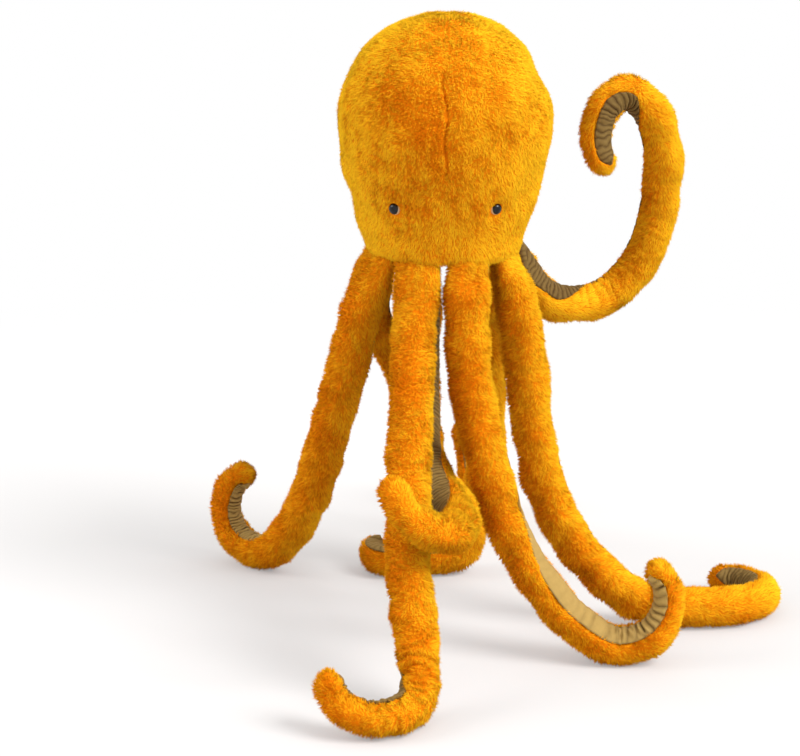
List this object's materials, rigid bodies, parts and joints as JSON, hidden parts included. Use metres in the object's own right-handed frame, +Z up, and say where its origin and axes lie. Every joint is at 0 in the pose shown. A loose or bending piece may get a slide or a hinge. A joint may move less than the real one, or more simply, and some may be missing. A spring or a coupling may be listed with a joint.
{
  "type": "plush octopus",
  "caption": "Stuffed plush octopus: tall furry head on a ring of eight curling, posable arms with velvet undersides, two round glossy eyes; stands on its arms.",
  "frame": {"origin": "centre of the bounding box, at the floor that the toy stands on", "axes": "+Z up; the face looks along -Y; +X is the viewer's right"},
  "size_m": [0.6016, 0.7156, 0.6214],
  "materials": {
    "fur": "satin",
    "velvet": "satin",
    "stuffing": "matte",
    "wire": "matte",
    "eye": "gloss",
    "washer": "matte"
  },
  "bodies": {
    "root": {"head_front_left_panel": "fur", "head_front_right_panel": "fur", "head_rear_left_panel": "fur", "head_rear_right_panel": "fur", "head_stuffing": "stuffing", "base_panel": "velvet", "left_eye": "eye", "left_eye_washer": "washer", "right_eye": "eye", "right_eye_washer": "washer"},
    "front_left_arm_upper": {"front_left_arm_upper_fur": "fur", "front_left_arm_upper_velvet": "velvet", "front_left_arm_upper_wire": "wire"},
    "front_left_arm_tip": {"front_left_arm_tip_fur": "fur", "front_left_arm_tip_velvet": "velvet", "front_left_arm_tip_wire": "wire"},
    "front_right_arm_upper": {"front_right_arm_upper_fur": "fur", "front_right_arm_upper_velvet": "velvet", "front_right_arm_upper_wire": "wire"},
    "front_right_arm_tip": {"front_right_arm_tip_fur": "fur", "front_right_arm_tip_velvet": "velvet", "front_right_arm_tip_wire": "wire"},
    "right_arm_upper": {"right_arm_upper_fur": "fur", "right_arm_upper_velvet": "velvet", "right_arm_upper_wire": "wire"},
    "right_arm_tip": {"right_arm_tip_fur": "fur", "right_arm_tip_velvet": "velvet", "right_arm_tip_wire": "wire"},
    "raised_arm_upper": {"raised_arm_upper_fur": "fur", "raised_arm_upper_velvet": "velvet", "raised_arm_upper_wire": "wire"},
    "raised_arm_tip": {"raised_arm_tip_fur": "fur", "raised_arm_tip_velvet": "velvet", "raised_arm_tip_wire": "wire"},
    "rear_right_arm_upper": {"rear_right_arm_upper_fur": "fur", "rear_right_arm_upper_velvet": "velvet", "rear_right_arm_upper_wire": "wire"},
    "rear_right_arm_tip": {"rear_right_arm_tip_fur": "fur", "rear_right_arm_tip_velvet": "velvet", "rear_right_arm_tip_wire": "wire"},
    "hooked_arm_upper": {"hooked_arm_upper_fur": "fur", "hooked_arm_upper_velvet": "velvet", "hooked_arm_upper_wire": "wire"},
    "hooked_arm_tip": {"hooked_arm_tip_fur": "fur", "hooked_arm_tip_velvet": "velvet", "hooked_arm_tip_wire": "wire"},
    "rear_left_arm_upper": {"rear_left_arm_upper_fur": "fur", "rear_left_arm_upper_velvet": "velvet", "rear_left_arm_upper_wire": "wire"},
    "rear_left_arm_tip": {"rear_left_arm_tip_fur": "fur", "rear_left_arm_tip_velvet": "velvet", "rear_left_arm_tip_wire": "wire"},
    "left_arm_upper": {"left_arm_upper_fur": "fur", "left_arm_upper_velvet": "velvet", "left_arm_upper_wire": "wire"},
    "left_arm_tip": {"left_arm_tip_fur": "fur", "left_arm_tip_velvet": "velvet", "left_arm_tip_wire": "wire"}
  },
  "joints": [
    {"name": "front_left_arm_swing", "type": "hinge", "parent": "root", "child": "front_left_arm_upper", "pos_m": [-0.0751, -0.05597, 0.38142], "axis": [0, 1, 0], "range_deg": [0, 40]},
    {"name": "front_left_arm_curl", "type": "hinge", "parent": "front_left_arm_upper", "child": "front_left_arm_tip", "pos_m": [-0.08353, -0.22582, 0.1184], "axis": [-0.57, 0.6575, -0.4927], "range_deg": [-35, 35]},
    {"name": "front_right_arm_swing", "type": "hinge", "parent": "root", "child": "front_right_arm_upper", "pos_m": [-0.02305, -0.05597, 0.38142], "axis": [-0.9239, -0.3827, 0], "range_deg": [0, 60]},
    {"name": "front_right_arm_curl", "type": "hinge", "parent": "front_right_arm_upper", "child": "front_right_arm_tip", "pos_m": [0.024, -0.13025, 0.11398], "axis": [-0.2092, -0.9674, 0.1429], "range_deg": [-35, 35]},
    {"name": "right_arm_swing", "type": "hinge", "parent": "root", "child": "right_arm_upper", "pos_m": [0.01375, -0.01917, 0.38142], "axis": [-0.3827, -0.9239, 0], "range_deg": [-5, 60]},
    {"name": "right_arm_curl", "type": "hinge", "parent": "right_arm_upper", "child": "right_arm_tip", "pos_m": [0.09953, -0.04256, 0.06968], "axis": [0.6787, -0.353, 0.644], "range_deg": [-35, 35]},
    {"name": "raised_arm_swing", "type": "hinge", "parent": "root", "child": "raised_arm_upper", "pos_m": [0.01375, 0.03288, 0.38142], "axis": [0.3827, -0.9239, 0], "range_deg": [-45, 5]},
    {"name": "raised_arm_curl", "type": "hinge", "parent": "raised_arm_upper", "child": "raised_arm_tip", "pos_m": [0.17454, 0.10917, 0.39482], "axis": [0, -0.9894, -0.1454], "range_deg": [-35, 15]},
    {"name": "rear_right_arm_swing", "type": "hinge", "parent": "root", "child": "rear_right_arm_upper", "pos_m": [-0.02305, 0.06968, 0.38142], "axis": [0.9239, -0.3827, 0], "range_deg": [-5, 60]},
    {"name": "rear_right_arm_curl", "type": "hinge", "parent": "rear_right_arm_upper", "child": "rear_right_arm_tip", "pos_m": [0.00198, 0.20448, 0.10612], "axis": [0.9934, 0.0822, 0.0797], "range_deg": [-35, 35]},
    {"name": "hooked_arm_swing", "type": "hinge", "parent": "root", "child": "hooked_arm_upper", "pos_m": [-0.0751, 0.06968, 0.38142], "axis": [0.224, 0.8365, 0.5], "range_deg": [-6, 0]},
    {"name": "hooked_arm_curl", "type": "hinge", "parent": "hooked_arm_upper", "child": "hooked_arm_tip", "pos_m": [-0.03876, -0.21093, 0.15881], "axis": [0.2091, -0.1185, -0.9707], "range_deg": [-35, 10]},
    {"name": "rear_left_arm_swing", "type": "hinge", "parent": "root", "child": "rear_left_arm_upper", "pos_m": [-0.1119, 0.03288, 0.38142], "axis": [0.3536, -0.3536, 0.866], "range_deg": [-25, 12]},
    {"name": "rear_left_arm_curl", "type": "hinge", "parent": "rear_left_arm_upper", "child": "rear_left_arm_tip", "pos_m": [-0.08135, 0.11572, 0.1814], "axis": [0.156, 0.9831, 0.0959], "range_deg": [-35, 15]},
    {"name": "left_arm_swing", "type": "hinge", "parent": "root", "child": "left_arm_upper", "pos_m": [-0.1119, -0.01917, 0.38142], "axis": [-0.3827, 0.9239, 0], "range_deg": [-5, 60]},
    {"name": "left_arm_curl", "type": "hinge", "parent": "left_arm_upper", "child": "left_arm_tip", "pos_m": [-0.1842, 0.06155, 0.11626], "axis": [0.7715, 0.6216, 0.1359], "range_deg": [-35, 35]}
  ]
}
